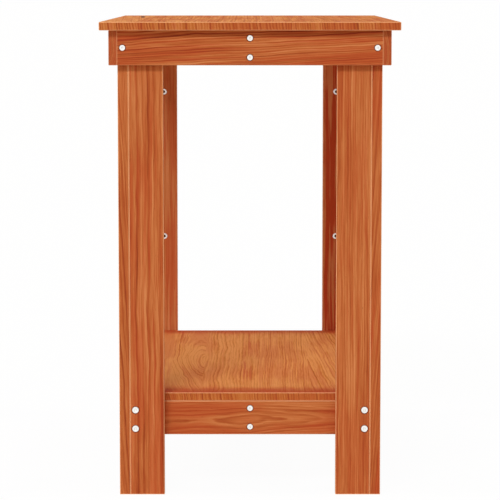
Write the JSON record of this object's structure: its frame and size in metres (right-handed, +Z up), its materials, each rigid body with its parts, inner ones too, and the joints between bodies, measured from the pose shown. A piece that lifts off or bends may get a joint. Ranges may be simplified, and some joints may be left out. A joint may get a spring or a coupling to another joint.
{
  "type": "work table",
  "caption": "Free-standing wooden work table with a thin tabletop on an apron frame, L-shaped board legs and a lower shelf on rails, held by screws, bolts and barrel nuts.",
  "frame": {"origin": "on the floor under the middle of the tabletop", "axes": "+X across the table, +Y along it, +Z up; the pictured narrow end faces -Y"},
  "size_m": [0.5, 0.825, 0.8],
  "materials": {
    "panel_wood": "satin wax",
    "board_wood": "satin wax",
    "zinc_steel": "bright zinc"
  },
  "bodies": {
    "root": {"apron_leg_screws": "zinc_steel", "apron_stretcher_screws": "zinc_steel", "back_apron": "board_wood", "back_end_rail": "board_wood", "back_left_leg_end_board": "board_wood", "back_left_leg_side_board": "board_wood", "back_right_leg_end_board": "board_wood", "back_right_leg_side_board": "board_wood", "end_rail_screws": "zinc_steel", "front_apron": "board_wood", "front_end_rail": "board_wood", "front_left_leg_end_board": "board_wood", "front_left_leg_side_board": "board_wood", "front_right_leg_end_board": "board_wood", "front_right_leg_side_board": "board_wood", "left_apron": "board_wood", "left_side_rail": "board_wood", "leg_corner_bolts": "zinc_steel", "leg_corner_nuts": "zinc_steel", "long_apron_screws": "zinc_steel", "lower_stretcher": "board_wood", "lower_stretcher_screws": "zinc_steel", "right_apron": "board_wood", "right_side_rail": "board_wood", "shelf": "panel_wood", "shelf_screws": "zinc_steel", "side_rail_bolts": "zinc_steel", "side_rail_nuts": "zinc_steel", "tabletop": "panel_wood", "tabletop_screws": "zinc_steel", "top_stretcher": "board_wood"}
  },
  "joints": []
}
